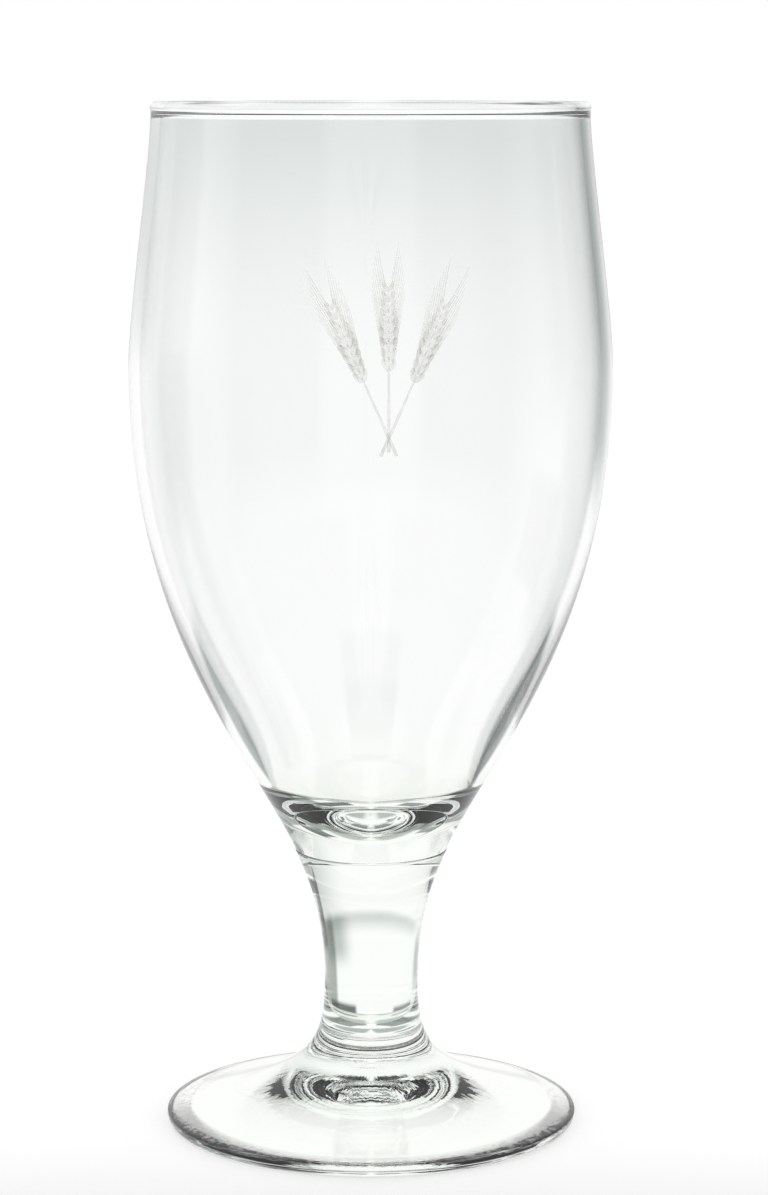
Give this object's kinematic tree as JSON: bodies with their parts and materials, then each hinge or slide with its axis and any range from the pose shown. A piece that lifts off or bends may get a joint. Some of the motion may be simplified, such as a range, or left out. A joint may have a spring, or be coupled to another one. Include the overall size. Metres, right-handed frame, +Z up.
{
  "type": "stemmed beer glass",
  "caption": "Clear stemmed beer glass with a tall tulip bowl, a beaded lip, a short waisted stem and a round foot.",
  "frame": {"origin": "centre of the flat ring under the foot, on the table plane", "axes": "+Z up along the glass's axis; the glass is round, so +X and +Y are free, and the picture looks along +Y"},
  "size_m": [0.0772, 0.0772, 0.165],
  "materials": {
    "clear_glass": "clear, faintly green-grey soda-lime glass, fire-polished"
  },
  "bodies": {
    "root": {"bowl": "clear_glass", "stem_foot": "clear_glass"}
  },
  "joints": []
}
